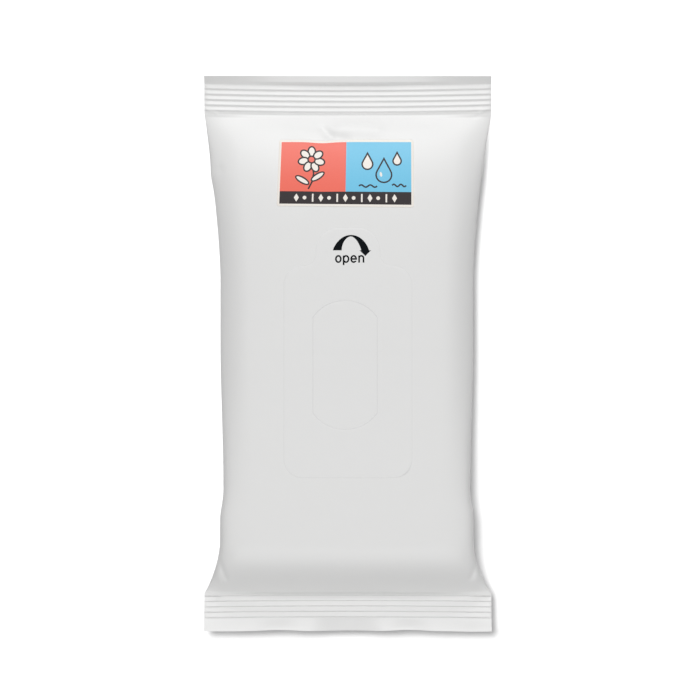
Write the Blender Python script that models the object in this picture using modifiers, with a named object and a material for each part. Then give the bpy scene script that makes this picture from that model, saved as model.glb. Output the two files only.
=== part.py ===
"""A travel pack of wet wipes: a sealed flow-wrap film pack, with a peel-back label over its die-cut
opening and a printed sticker on its front.

Metres, +Z up. The pack lies on its back with its front up and its top end towards +Y. The origin
is on the table, under the middle of the pack.
"""

import math

import bmesh
import bpy

# Film pack
PACK_LENGTH = 0.135
PACK_WIDTH = 0.070
BODY_WIDTH = 0.0616
BODY_HEIGHT = 0.0126
BELLY_HEIGHT = 0.0138
SEAM_HEIGHT = 0.0055
BELLY_RUN = 0.038
REST_SINK = 0.0005

# Film running from the contents out to the end seals, with the power of each slope's curve
TOP_SLOPE = 0.040
BOTTOM_SLOPE = 0.013
TOP_FALL = 3
BOTTOM_FALL = 2
TOP_TAPER = 1.5
BOTTOM_TAPER = 1.8

# Power of the section's curve: 2 is an ellipse, and more is boxier
FRONT_SQUARENESS = 3.6
BACK_SQUARENESS = 4.0
SLOPE_SQUARENESS = 2.2
SEAL_SQUARENESS = 8.0

# Waist, where the sides draw in above the bottom of the contents
WAIST_RISE = 0.0254
WAIST_DRAW = 0.0008
WAIST_ABOVE = 0.036
WAIST_BELOW = 0.0075

# End seals
SEAL_DEPTH = 0.009
SEAL_THICKNESS = 0.0005
SEAL_LIFT = 0.0007
TOP_PLAIN_BAND = 0.0020
BOTTOM_PLAIN_BAND = 0.0031
TOP_BOW = 0.00048
BOTTOM_BOW = 0.00024
BOW_RUN = 0.005
RIB_PITCH = 0.0013
RIB_HEIGHT = 0.0004

# Fin seal, pressed flat along the back
FIN_WIDTH = 0.0097
FIN_OFFSET = 0.0005
FIN_STEP = 0.0004
FIN_VALLEY = 0.003
FIN_EDGE = 0.0001

# Reseal label, with its pull tab at the top
LABEL_WIDTH = 0.031
LABEL_LENGTH = 0.0512
LABEL_CORNER = 0.0046
LABEL_THICKNESS = 0.00015
TAB_WIDTH = 0.0155
TAB_LENGTH = 0.0092
TAB_CORNER = 0.0055
TAB_FILLET = 0.003

# Panel that the die cuts out of the film under the label
PANEL_WIDTH = 0.0155
PANEL_LENGTH = 0.0312
PANEL_ARCH = 0.0040
PANEL_THICKNESS = 0.0001
PANEL_OFFSET = -0.0007

# Sticker, sized as it is seen from the front
STICKER_WIDTH = 0.0334
STICKER_HEIGHT = 0.0166
STICKER_THICKNESS = 0.00015
STICKER_OFFSET = -0.0005
STICKER_BORDER = 0.0007
STICKER_STRIP = 0.0031
STICKER_TILT = math.radians(-0.5)

# Places down the front, each measured from the edge above it
STICKER_DROP = 0.0066
TAB_DROP = 0.0049
PANEL_DROP = 0.0084

# Fit and fineness
GAP = 0.0003
CUTTER_RISE = 0.001
FRONT_STEPS = 26
SIDE_STEPS = 6
STEPS_PER_RIB = 4
SLOPE_STEPS = 12
BODY_STEPS = 10
ARC_STEPS = 6
SHEET_CELL = 0.0035
CREASE_ANGLE = math.radians(40)

TOP_EDGE = PACK_LENGTH / 2 - SEAL_DEPTH
BOTTOM_EDGE = SEAL_DEPTH - PACK_LENGTH / 2
STICKER_TOP = TOP_EDGE - STICKER_DROP
TAB_TOP = STICKER_TOP - STICKER_HEIGHT - TAB_DROP
LABEL_TOP = TAB_TOP - TAB_LENGTH
PANEL_TOP = LABEL_TOP - PANEL_DROP
FIN_LEFT = FIN_OFFSET - FIN_WIDTH / 2
FIN_RIGHT = FIN_OFFSET + FIN_WIDTH / 2

# Base colour, roughness and metallic of each material
WHITE_FILM = ((0.83, 0.84, 0.84), 0.42, 0.0)
WHITE_LABEL = ((0.85, 0.85, 0.85), 0.38, 0.0)
STICKER_PAPER = ((0.90, 0.86, 0.80), 0.50, 0.0)
STICKER_CORAL = ((0.85, 0.13, 0.10), 0.45, 0.0)
STICKER_BLUE = ((0.15, 0.52, 0.78), 0.45, 0.0)
STICKER_DARK = ((0.045, 0.035, 0.04), 0.45, 0.0)


def clear_scene():
    for thing in list(bpy.data.objects):
        bpy.data.objects.remove(thing)


def new_collection(name):
    collection = bpy.data.collections.new(name)
    bpy.context.scene.collection.children.link(collection)
    return collection


def new_material(name, look):
    colour, roughness, metallic = look
    material = bpy.data.materials.new(name)
    material.use_nodes = True
    shader = material.node_tree.nodes["Principled BSDF"]
    shader.inputs["Base Color"].default_value = (*colour, 1)
    shader.inputs["Roughness"].default_value = roughness
    shader.inputs["Metallic"].default_value = metallic
    material.diffuse_color = (*colour, 1)
    return material


def new_object(name, bm, collection, materials=()):
    """A mesh object made from bm, shaded smooth except at its creases."""
    mesh = bpy.data.meshes.new(name)
    bm.to_mesh(mesh)
    bm.free()
    mesh.shade_smooth()
    mesh.set_sharp_from_angle(angle=CREASE_ANGLE)
    for material in materials:
        mesh.materials.append(material)
    thing = bpy.data.objects.new(name, mesh)
    collection.objects.link(thing)
    return thing


def eased(distance, run, power):
    """Rises from 0 to 1 over run, quickly at first and level at its end."""
    return 1 - (1 - min(max(distance / run, 0), 1)) ** power


def smooth(share):
    """Rises from 0 to 1 with a level start and end."""
    share = min(max(share, 0), 1)
    return share * share * (3 - 2 * share)


def mixed(start, end, share):
    return start + (end - start) * share


def filled(y):
    """How full the pack is at y: 0 at the seals and 1 over the contents."""
    from_top = eased(TOP_EDGE - y, TOP_SLOPE, TOP_FALL)
    from_bottom = eased(y - BOTTOM_EDGE, BOTTOM_SLOPE, BOTTOM_FALL)
    return min(from_top, from_bottom)


def half_width(y):
    """The sides taper in from both seals, and once more at the waist."""
    from_top = eased(TOP_EDGE - y, TOP_SLOPE, TOP_TAPER)
    from_bottom = eased(y - BOTTOM_EDGE, BOTTOM_SLOPE, BOTTOM_TAPER)
    past_waist = y - (BOTTOM_EDGE + WAIST_RISE)
    run = WAIST_ABOVE if past_waist > 0 else WAIST_BELOW
    waist = WAIST_DRAW * smooth(1 - abs(past_waist) / run)
    return mixed(PACK_WIDTH, BODY_WIDTH, min(from_top, from_bottom)) / 2 - waist


def plain_band(y):
    return TOP_PLAIN_BAND if y > 0 else BOTTOM_PLAIN_BAND


def rib_count(band):
    """Whole ribs that fit in a seal, beside its plain band."""
    return int((SEAL_DEPTH - band) / RIB_PITCH)


def rib_margin(band):
    """The flat strip between a seal's inner edge and its first rib."""
    return SEAL_DEPTH - band - rib_count(band) * RIB_PITCH


def seam_height(y):
    """Height of the middle of the film's thickness: level along the body, ribbed in the seals."""
    depth = max(abs(y) - TOP_EDGE, 0)
    ribs = (depth - rib_margin(plain_band(y))) / RIB_PITCH
    rib = RIB_HEIGHT * (1 - math.cos(2 * math.pi * ribs)) / 2 if 0 < ribs < rib_count(plain_band(y)) else 0
    return SEAM_HEIGHT + SEAL_LIFT * depth / SEAL_DEPTH + rib


def squareness(y, full):
    """Power of the section's curve: boxy in the seals and over the contents, lens-like between."""
    if filled(y) == 0:
        return SEAL_SQUARENESS
    return mixed(SLOPE_SQUARENESS, full, filled(y))


def curve_share(x, y, full):
    """Share of the section's full height that is left at x."""
    power = squareness(y, full)
    return max(1 - min(abs(x) / half_width(y), 1) ** power, 0) ** (1 / power)


def front_rise(y):
    """Height of the front's crown above the seam."""
    belly = smooth((BOTTOM_EDGE + BOTTOM_SLOPE + BELLY_RUN - y) / BELLY_RUN)
    crown = mixed(BODY_HEIGHT, BELLY_HEIGHT, belly) - SEAM_HEIGHT
    return mixed(SEAL_THICKNESS / 2, crown, filled(y))


def front_height(x, y):
    return seam_height(y) + front_rise(y) * curve_share(x, y, FRONT_SQUARENESS)


def fin_relief(x, full):
    """The fin stands proud of the seals. On the body it lies level with the back, and the film
    beside it is lifted off the table."""
    outside = max(FIN_LEFT - x, x - FIN_RIGHT)
    if outside <= 0:
        return -FIN_STEP * (1 - full)
    return FIN_STEP * full * max(1 - outside / FIN_VALLEY, 0)


def back_height(x, y):
    """The back is pressed flat on the table under the contents."""
    drop = mixed(SEAL_THICKNESS / 2, SEAM_HEIGHT + REST_SINK, filled(y))
    film = max(seam_height(y) - drop * curve_share(x, y, BACK_SQUARENESS), 0)
    return max(film + fin_relief(x, filled(y)), 0)


def bow(x, y):
    """How far along Y the lines of a seal sag towards the body at x. The sag fades out over the
    plain band to the pack's end, and over the film beside the seal."""
    across = 1 - min(abs(x) / half_width(y), 1) ** 2
    to_end = PACK_LENGTH / 2 - abs(y)
    fade = min(to_end / plain_band(y), 1) * smooth(1 - (to_end - SEAL_DEPTH) / BOW_RUN)
    return (-TOP_BOW if y > 0 else BOTTOM_BOW) * across * fade


def seal_stations(band):
    """Distances out from a seal's inner edge: each rib's steps, then the plain band."""
    steps = range(rib_count(band) * STEPS_PER_RIB + 1)
    ribs = [rib_margin(band) + RIB_PITCH * step / STEPS_PER_RIB for step in steps]
    return ribs + [SEAL_DEPTH - band / 2, SEAL_DEPTH]


def stations():
    """Places along the pack, from its bottom end to its top end."""
    bottom_seal = [BOTTOM_EDGE - depth for depth in reversed(seal_stations(BOTTOM_PLAIN_BAND))]
    shares = [(step / SLOPE_STEPS) ** 1.5 for step in range(SLOPE_STEPS + 1)]
    bottom_slope = [BOTTOM_EDGE + BOTTOM_SLOPE * share for share in shares]
    top_slope = [TOP_EDGE - TOP_SLOPE * share for share in reversed(shares)]
    middle = [mixed(bottom_slope[-1], top_slope[0], step / BODY_STEPS) for step in range(1, BODY_STEPS)]
    top_seal = [TOP_EDGE + depth for depth in seal_stations(TOP_PLAIN_BAND)]
    return bottom_seal + bottom_slope + middle + top_slope + top_seal


def front_columns(y):
    """X of the section's points over the front, from the right side to the left."""
    power = 2 / squareness(y, FRONT_SQUARENESS)
    angles = [math.pi * step / FRONT_STEPS for step in range(FRONT_STEPS + 1)]
    return [half_width(y) * math.copysign(abs(math.cos(a)) ** power, math.cos(a)) for a in angles]


def back_columns(y):
    """X of the points along the back, from left to right: one side, the fin seal, the other side."""
    shares = [math.sin(math.pi / 2 * step / SIDE_STEPS) for step in range(SIDE_STEPS)]
    left = [mixed(FIN_LEFT - FIN_VALLEY, -half_width(y), share) for share in reversed(shares)]
    right = [mixed(FIN_RIGHT + FIN_VALLEY, half_width(y), share) for share in shares]
    fin = [FIN_LEFT - FIN_EDGE, FIN_LEFT, FIN_OFFSET, FIN_RIGHT, FIN_RIGHT + FIN_EDGE]
    return left + fin + right


def section(y):
    """Points round the pack at y, over the front and back along the back."""
    front = [(x, y + bow(x, y), front_height(x, y)) for x in front_columns(y)]
    back = [(x, y + bow(x, y), back_height(x, y)) for x in back_columns(y)]
    return front + back


def lofted(sections):
    """A closed body through sections of equal point count, capped at both ends."""
    bm = bmesh.new()
    rings = [[bm.verts.new(point) for point in ring] for ring in sections]
    count = len(rings[0])
    for low, high in zip(rings, rings[1:]):
        for i in range(count):
            j = (i + 1) % count
            bm.faces.new((low[i], low[j], high[j], high[i]))
    bm.faces.new(rings[0])
    bm.faces.new(rings[-1])
    bmesh.ops.recalc_face_normals(bm, faces=bm.faces)
    return bm


def arc(centre_x, centre_y, radius, start, end):
    """Points of an arc between two angles in degrees."""
    angles = [math.radians(mixed(start, end, step / ARC_STEPS)) for step in range(ARC_STEPS + 1)]
    return [(centre_x + radius * math.cos(a), centre_y + radius * math.sin(a)) for a in angles]


def mirrored(right_half):
    """An outline from its right half, which runs from the bottom to the top."""
    return right_half + [(-x, y) for x, y in reversed(right_half)]


def label_outline():
    """A rounded rectangle with a pull tab. Its corners give way where the tab leaves little room."""
    shoulder = (LABEL_WIDTH - TAB_WIDTH) / 2
    corner = min(LABEL_CORNER, shoulder - GAP)
    fillet = min(TAB_FILLET, shoulder - corner)
    tip = min(TAB_CORNER, TAB_LENGTH - fillet)
    side, bottom = LABEL_WIDTH / 2, LABEL_TOP - LABEL_LENGTH
    right = arc(side - corner, bottom + corner, corner, -90, 0)
    right += arc(side - corner, LABEL_TOP - corner, corner, 0, 90)
    right += arc(TAB_WIDTH / 2 + fillet, LABEL_TOP + fillet, fillet, 270, 180)
    right += arc(TAB_WIDTH / 2 - tip, TAB_TOP - tip, tip, 0, 90)
    return mirrored(right)


def panel_outline(margin):
    """Straight sides closed by shallow arches, grown all round by margin."""
    side = PANEL_WIDTH / 2 + margin
    radius = (side**2 + PANEL_ARCH**2) / (2 * PANEL_ARCH)
    reach = math.degrees(2 * math.atan(PANEL_ARCH / side))
    low = PANEL_TOP - PANEL_LENGTH - margin + radius
    high = PANEL_TOP + margin - radius
    bottom_arch = arc(PANEL_OFFSET, low, radius, -90 - reach, reach - 90)
    return bottom_arch + arc(PANEL_OFFSET, high, radius, 90 - reach, 90 + reach)


def sticker_outline():
    side, bottom = STICKER_WIDTH / 2, STICKER_TOP - STICKER_HEIGHT
    return mirrored([(side, bottom), (side, STICKER_TOP)])


def flat_sheet(outline, cuts_x=(), cuts_y=()):
    """The outline as a flat face, cut into cells small enough to bend, and along any extra lines."""
    bm = bmesh.new()
    bm.faces.new([bm.verts.new((x, y, 0)) for x, y in outline])
    for axis, extra in enumerate((cuts_x, cuts_y)):
        low = min(point[axis] for point in outline)
        high = max(point[axis] for point in outline)
        cells = math.ceil((high - low) / SHEET_CELL)
        lines = [mixed(low, high, cell / cells) for cell in range(1, cells)]
        for place in [*lines, *extra]:
            normal = [0, 0, 0]
            normal[axis] = 1
            origin = [value * place for value in normal]
            geometry = bm.verts[:] + bm.edges[:] + bm.faces[:]
            bmesh.ops.bisect_plane(bm, geom=geometry, plane_co=origin, plane_no=normal)
    return bm


def turned(bm, centre_x, centre_y, angle):
    """The flat sheet, turned about its centre and moved sideways from X = 0 to centre_x."""
    for vert in bm.verts:
        x, y = vert.co.x, vert.co.y - centre_y
        vert.co.x = centre_x + x * math.cos(angle) - y * math.sin(angle)
        vert.co.y = centre_y + x * math.sin(angle) + y * math.cos(angle)
    return bm


def drape(bm, lift):
    """Lays the flat sheet over the front of the pack, lift above the film, facing away from it."""
    for vert in bm.verts:
        x, y = vert.co.x, vert.co.y
        vert.co.z = front_height(x, y - bow(x, y)) + lift
    bm.normal_update()
    for face in bm.faces:
        if face.normal.z < 0:
            face.normal_flip()
    return bm


def add_thickness(thing, thickness):
    """Thickens a draped sheet outwards, away from the film."""
    solidify = thing.modifiers.new("thickness", "SOLIDIFY")
    solidify.thickness = thickness
    solidify.offset = 1
    solidify.use_even_offset = True
    return thing


def build_film_pack(parts, cutters):
    pack = new_object(
        "film_pack",
        lofted([section(y) for y in stations()]),
        parts,
        [new_material("white_film", WHITE_FILM)],
    )
    seat = drape(flat_sheet(panel_outline(GAP)), -PANEL_THICKNESS - GAP)
    cutter = add_thickness(new_object("panel_seat_cutter", seat, cutters), CUTTER_RISE)
    cutter.hide_render = True
    cutter.display_type = "WIRE"
    cut = pack.modifiers.new("panel_seat", "BOOLEAN")
    cut.operation = "DIFFERENCE"
    cut.solver = "EXACT"
    cut.object = cutter


def build_opening_panel(parts):
    sheet = drape(flat_sheet(panel_outline(0)), -PANEL_THICKNESS)
    panel = new_object("opening_panel", sheet, parts, [new_material("panel_film", WHITE_FILM)])
    add_thickness(panel, PANEL_THICKNESS)


def build_reseal_label(parts):
    sheet = drape(flat_sheet(label_outline()), GAP)
    label = new_object("reseal_label", sheet, parts, [new_material("white_label", WHITE_LABEL)])
    add_thickness(label, LABEL_THICKNESS)


def build_front_sticker(parts):
    """The sticker's border, two fields of colour and dark strip are its own faces."""
    side, bottom = STICKER_WIDTH / 2, STICKER_TOP - STICKER_HEIGHT
    inner_side = side - STICKER_BORDER
    inner_top = STICKER_TOP - STICKER_BORDER
    inner_bottom = bottom + STICKER_BORDER
    strip_top = inner_bottom + STICKER_STRIP
    sheet = flat_sheet(
        sticker_outline(), (-inner_side, 0, inner_side), (inner_bottom, strip_top, inner_top)
    )
    for face in sheet.faces:
        middle = face.calc_center_median()
        if abs(middle.x) > inner_side or not inner_bottom < middle.y < inner_top:
            face.material_index = 0
        elif middle.y < strip_top:
            face.material_index = 3
        else:
            face.material_index = 1 if middle.x < 0 else 2
    sheet = drape(turned(sheet, STICKER_OFFSET, STICKER_TOP - STICKER_HEIGHT / 2, STICKER_TILT), GAP)
    materials = [
        new_material("sticker_paper", STICKER_PAPER),
        new_material("sticker_coral", STICKER_CORAL),
        new_material("sticker_blue", STICKER_BLUE),
        new_material("sticker_dark", STICKER_DARK),
    ]
    add_thickness(new_object("front_sticker", sheet, parts, materials), STICKER_THICKNESS)


def main():
    clear_scene()
    parts = new_collection("wet_wipes_pack")
    cutters = new_collection("cutters")
    build_film_pack(parts, cutters)
    build_opening_panel(parts)
    build_reseal_label(parts)
    build_front_sticker(parts)


main()
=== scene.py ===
"""The looks of a sealed travel pack of wet wipes lying on its back: matte white film with ribbed end
seals, a reseal label with a pull tab, a printed sticker, a pale floor and soft light.

Metres, +Z up. The pack's top end points along +Y and its front faces up.
"""

import math

import bpy
import numpy as np
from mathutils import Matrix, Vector
from mathutils.geometry import delaunay_2d_cdt


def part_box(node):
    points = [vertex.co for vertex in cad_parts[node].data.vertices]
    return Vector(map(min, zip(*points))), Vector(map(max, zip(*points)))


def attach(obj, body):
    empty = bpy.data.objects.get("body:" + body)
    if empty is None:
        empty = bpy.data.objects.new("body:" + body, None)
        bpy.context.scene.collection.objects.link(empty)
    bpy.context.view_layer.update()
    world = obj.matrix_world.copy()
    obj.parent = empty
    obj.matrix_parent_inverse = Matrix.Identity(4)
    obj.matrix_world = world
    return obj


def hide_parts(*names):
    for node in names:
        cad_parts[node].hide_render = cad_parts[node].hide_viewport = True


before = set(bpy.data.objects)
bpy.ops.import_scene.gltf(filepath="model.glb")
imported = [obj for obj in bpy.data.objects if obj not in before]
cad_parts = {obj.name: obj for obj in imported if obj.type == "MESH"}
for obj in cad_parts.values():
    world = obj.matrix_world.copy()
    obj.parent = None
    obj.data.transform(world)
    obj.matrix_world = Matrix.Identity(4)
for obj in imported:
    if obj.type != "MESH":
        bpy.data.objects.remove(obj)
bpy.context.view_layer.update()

# Film pack, with the same form as its solid. A fall or a taper is the power of a slope that starts
# steep, and a squareness is the power of a section's curve, where 2 is an ellipse and more is squarer
pack_low, pack_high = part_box("film_pack")
PACK_LENGTH = pack_high.y - pack_low.y
PACK_WIDTH = pack_high.x - pack_low.x
BODY_WIDTH = 0.0616
BODY_HEIGHT = 0.0126
BELLY_HEIGHT = 0.0138
BELLY_RUN = 0.038
SEAM_HEIGHT = 0.0055
REST_SINK = 0.0005
TOP_SLOPE = 0.040
BOTTOM_SLOPE = 0.013
TOP_FALL = 3
BOTTOM_FALL = 2
TOP_TAPER = 1.5
BOTTOM_TAPER = 1.8
FRONT_SQUARENESS = 3.6
BACK_SQUARENESS = 4.0
SLOPE_SQUARENESS = 2.2
SEAL_SQUARENESS = 8.0
SEAL_BLEND = 0.05
WAIST_RISE = 0.0254
WAIST_DRAW = 0.0008
WAIST_ABOVE = 0.036
WAIST_BELOW = 0.0075

# End seals
SEAL_DEPTH = 0.009
SEAL_THICKNESS = 0.0005
TOP_SEAL_LIFT = 0.0007
BOTTOM_SEAL_LIFT = 0.0014
TOP_PLAIN_BAND = 0.0020
BOTTOM_PLAIN_BAND = 0.0031
TOP_BOW = 0.00048
BOTTOM_BOW = 0.00024
BOW_RUN = 0.005

# Ribs. A turn is a place where two flanks meet, as a share of the pitch, and a level is the height there
RIB_PITCH = 0.0013
TOP_RIB_HEIGHT = 0.00038
BOTTOM_RIB_HEIGHT = 0.00033
TOP_RIB_TURN = 0.35
BOTTOM_RIB_TURN = 0.13
BOTTOM_RIB_LEVELS = (-1.0, -0.90, 0, -1.0)
RIB_ROUNDING = (-0.03, 0, 0.03)
RIB_FADE = 0.0008
RIB_AT_SIDE = 0.5

# The bottom's groove beside the body is deeper near the pack's sides. From and run are shares of the
# half width, and more is the share of the depth that is added
GROOVE_FROM = 0.84
GROOVE_RUN = 0.08
GROOVE_MORE = 0.5

# Curl of the plain bands, and the step in the middle of the top one: its run is a share of the band,
# and its reach and blur are shares of the half width
CURL_START = 0.0002
TOP_CURL = 0.0015
TOP_STEP = 0.0009
TOP_STEP_RUN = 0.35
TOP_STEP_REACH = 2 / 15
TOP_STEP_BLUR = 2 / 3
BOTTOM_CURL = 0.0010

TOP_EDGE = PACK_LENGTH / 2 - SEAL_DEPTH
BOTTOM_EDGE = SEAL_DEPTH - PACK_LENGTH / 2

# Mark of the fin seal's end in the bottom's plain band: its middle, reach and blur as shares of the
# half width, and the share of the curl that is left there
FIN_MARK_SHARE = -0.01
FIN_MARK_REACH = 0.10
FIN_MARK_BLUR = 0.18
FIN_MARK_CURL = 0.20

# Fin seal along the back
FIN_WIDTH = 0.0097
FIN_OFFSET = 0.0005
FIN_THICKNESS = 0.0004
FIN_VALLEY = 0.003
FIN_LINES = 8
FIN_LINE_DEPTH = 0.00006
FIN_LINE_FADE = 8

# The body's shift to the left, and a bulge in its left side
BODY_SHIFT = -0.00028
LEFT_BULGE = 0.0003
LEFT_BULGE_Y = 0.0433
LEFT_BULGE_RUN = 0.003

# A slight ripple all over, from waves of uneven lengths. It dies out with the folds at the very sides
RIPPLE_HEIGHT = 0.00003
RIPPLE_LENGTH = 0.016
RIPPLE_SEED = 3
RELIEF_FADE = 30
WAVE_COUNT = 7
WAVE_STRETCH = (0.7, 1.6)
WAVE_STRENGTH = 1.6

# The sides are rounder towards the top, with a sloping shoulder, and fuller towards the bottom
FULL_SQUARENESS = 6.5
FULL_FROM = 0.010
FULL_RUN = 0.055
SHOULDER_DROP = 0.44
SHOULDER_RUN = 0.0072

# Folds: start, end, half width, and height, which is below 0 for a groove
FOLDS = [
    ((-0.0062, 0.0548), (-0.0043, 0.0528), 0.0010, -0.00034),
    ((-0.0040, 0.0524), (-0.0006, 0.0519), 0.0013, -0.00022),
    ((-0.0012, 0.0556), (0.0062, 0.0550), 0.0024, 0.00038),
    ((-0.0130, 0.0545), (-0.0095, 0.0530), 0.0016, 0.00010),
    ((0.0170, 0.0563), (0.0205, 0.0558), 0.0006, -0.00006),
    ((-0.0347, 0.0594), (-0.0322, 0.0587), 0.0004, 0.00016),
    ((0.0347, 0.0597), (0.0318, 0.0588), 0.0004, 0.00018),
    ((0.0338, 0.0588), (0.0310, 0.0578), 0.0005, -0.00010),
    ((-0.0336, 0.0440), (-0.0312, 0.0448), 0.0010, -0.00030),
    ((-0.0313, -0.0501), (-0.0296, -0.0546), 0.0006, -0.00026),
    ((-0.0324, -0.0520), (-0.0312, -0.0552), 0.0007, 0.00016),
    ((0.0313, -0.0508), (0.0298, -0.0545), 0.0006, -0.00026),
    ((0.0324, -0.0520), (0.0312, -0.0552), 0.0007, 0.00016),
]

# Waves of the bottom's cut edge: place along X, half width, and reach towards the body. The edge also
# rises by a multiple of that reach
EDGE_WAVES = [
    (-0.0298, 0.0050, -0.00006),
    (-0.0167, 0.0050, 0.00032),
    (0.0005, 0.0045, 0.00014),
    (0.0148, 0.0045, 0.00036),
    (0.0306, 0.0050, -0.00016),
]
EDGE_WAVE_LIFT = 1.2

# How far the front stays above the seam at least
LEAST_GAP = 0.0001

# Reseal label and the die-cut panel under it. A lift is a height above the film, and a film is a sheet's
# thickness
label_low, label_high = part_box("reseal_label")
LABEL_LENGTH = 0.0512
LABEL_CORNER = 0.0046
TAB_WIDTH = 0.0155
TAB_CORNER = 0.0055
TAB_FILLET = 0.003
panel_low, panel_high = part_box("opening_panel")
PANEL_ARCH = 0.0040
LABEL_EDGE_LIFT = 0.000015
LABEL_LIFT = 0.00006
LABEL_BEVEL = 0.00028
LABEL_FILM = 0.00002
LABEL_CORNER_LIFT = 0.00020
LABEL_CORNER_RUN = 0.0022
PANEL_LIFT = 0.000012
PANEL_FILM = 0.00001
CUT_WIDTH = 0.00014
CUT_DEPTH = 0.00003
CUT_GUIDES = (-1.5, -0.75, 0, 0.75, 1.5)
PANEL_DROP = 0.00003

# Paints of the label after its own white: ink, and a grey that is painted shade. Then the widths of the
# lines of painted shade along the die-cut line and along the label's edge
INK, SHADE_LINE = 1, 2
SHADE_LINE_WIDTH = 0.00012
EDGE_SHADE_WIDTH = 0.00005

# Bent arrow: left foot, right foot and apex of its outer and inner curves, then the two powers of the
# left and of the right half, and its head
ARROW_OUTER = (-0.00364, 0.00508, (0.00076, 0.02880), (2.1, 1.30), (2.1, 1.35))
ARROW_INNER = (-0.00150, 0.00320, (0.00070, 0.02844), (1.77, 2.0), (1.85, 1.25))
ARROW_HEAD = ((0.00561, 0.02514), (0.00420, 0.02371), (0.00279, 0.02512))
ARROW_BASE_Y = 0.02508
ARROW_SHIFT = -0.00017

# The word open: each letter's bowl is an ellipse, and its strokes have one width
LETTER_STROKE = 0.00040
BOWL_REACH = (0.00080, 0.00096)
BOWL_Y = 0.02283
O_X = -0.00231
P_STEM_X = -0.00104
P_BOWL_X = -0.00045
E_X = 0.00138
N_STEM_X = 0.00270
N_RIGHT_X = 0.00376
X_HEIGHT_Y = 0.02366
BASE_LINE_Y = 0.02195
DESCENDER_Y = 0.02135

# Shares of the bowl's reach: the opening of the e, and the feet of the n's arch and its right stroke
E_GAP_LEFT = 0.2
E_GAP_DROP = 0.45
N_ARCH_FOOT = 0.25
N_RIGHT_TOP = 0.28

# Sticker
sticker_low, sticker_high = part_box("front_sticker")
STICKER_WIDTH = 0.0329
STICKER_HEIGHT = 0.0166
STICKER_CORNER = 0.0006
STICKER_BORDER = 0.0006
STICKER_STRIP = 0.0031
STICKER_LEAN = 0.00056
STICKER_RISE = 0.00032
STICKER_SAG = 0.00030
STICKER_SAG_X = -0.0063
STICKER_SAG_RUN = 0.0030
STICKER_EDGE_LIFT = 0.00004
STICKER_LIFT = 0.00012
STICKER_BEVEL = 0.00010
STICKER_PAPER = 0.00003

# Print of the sticker, with places from its middle
PAPER, CORAL, BLUE, DARK = range(4)
LINE = 0.00038
FLOWER = (-0.0084, 0.0034)
FLOWER_EYE = (0.00085, 0.00085)
PETALS = 7
PETAL_PLACE = 0.0020
PETAL_REACH = (0.00125, 0.00088)
STEM_BENDS = [(0.0006, -0.0035), (0.0003, -0.0055)]
STEM_FOOT = (-0.0090, -0.0040)
LEAVES = [((-0.0105, -0.0018), 150), ((-0.0068, -0.0008), 35)]
LEAF_REACH = (0.0018, 0.00065)

# Drops: centre, radius and paint, the arc of their round part in degrees, and the tip's place in radii
DROPS = [
    ((0.0052, 0.0022), 0.0013, PAPER),
    ((0.0092, -0.0004), 0.0019, BLUE),
    ((0.0124, 0.0030), 0.0010, PAPER),
]
DROP_ARC = (-215, 35)
DROP_TIP = 2.1

# The gleam on the second drop: place from the drop's centre, reach and turn
GLEAM_PLACE = (-0.0007, 0.0001)
GLEAM_REACH = (0.00028, 0.0006)
GLEAM_TURN = 12

# Lines of water: left end, right end and level
WATER_LINES = [(0.0032, 0.0076, -0.0032), (0.0112, 0.0146, -0.0030)]
WATER_WAVES = 2
WATER_SWING = 0.00028
WATER_STEPS = 24

# The row of small shapes, and the size of its diamonds and dots as shares of its height
ROW_COUNT = 13
ROW_REACH = 0.0118
ROW_HEIGHT = 0.0020
DIAMOND_WIDTH = 0.6
DOT_SIZE = 0.45

# Fineness of the meshes
SIDE_COLUMNS = 80
BACK_SHARE = 2
STEPS_PER_RIB = 16
NEAR_SEAL = 0.009
NEAR_STEPS = 28
BODY_STEPS = 100
FIN_STEPS_PER_LINE = 8
SHEET_CELL = 0.0007
ARC_STEPS = 12

# Points of a sheet that are closer than this are one, and no smaller square of a length is divided by
SAME_PLACE = 1e-8
LEAST_SQUARE = 1e-18

# Edges that turn by more degrees than this are shaded sharp
TUBE_SHARP = 50
SHEET_SHARP = 40

# Materials: colour, roughness, how far the colour varies, and specular level
MATERIALS = {
    "white_film": ((0.80, 0.80, 0.795), 0.38, 0.002, 0.5),
    "white_label": ((0.80, 0.80, 0.796), 0.38, 0.002, 0.5),
    "black_ink": ((0.0025, 0.0040, 0.0055), 0.5, 0.004, 0.05),
    # Grey for the painted shade that runs along the label's edge and its die-cut line
    "label_painted_shade": ((0.69, 0.69, 0.69), 0.42, 0.004, 0.5),
    "sticker_paper": ((0.90, 0.85, 0.79), 0.45, 0.004, 0.5),
    "sticker_coral": ((0.85, 0.144, 0.098), 0.42, 0.004, 0.5),
    "sticker_blue": ((0.16, 0.55, 0.79), 0.42, 0.004, 0.5),
    "sticker_dark": ((0.027, 0.021, 0.023), 0.45, 0.004, 0.25),
}
LABEL_PAINTS = ("white_label", "black_ink", "label_painted_shade")
STICKER_PAINTS = ("sticker_paper", "sticker_coral", "sticker_blue", "sticker_dark")

# Slight change of colour and roughness over a few millimetres, and a finer grain
CHANGE_SCALE = 250
CHANGE_DETAIL = 4
CHANGE_RANGE = (0.3, 0.7)
ROUGHNESS_CHANGE = 0.03
GRAIN_SCALE = 2000
GRAIN_DETAIL = 3
GRAIN_HEIGHT = 0.00001

# Camera, looking straight down
VIEW_WIDTH = 0.1699
VIEW_CENTRE = (0.0005, 0.00085)
VIEW_LEVEL = 0.009
LENS = 150
SENSOR = 36

# Floor and world
FLOOR_SIZE = 8.0
FLOOR_COLOUR = (0.80, 0.80, 0.80)
FLOOR_BOUNCE = (0.30, 0.30, 0.30)
FLOOR_GLOW = 0.20
AMBIENT = 0.22

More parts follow.
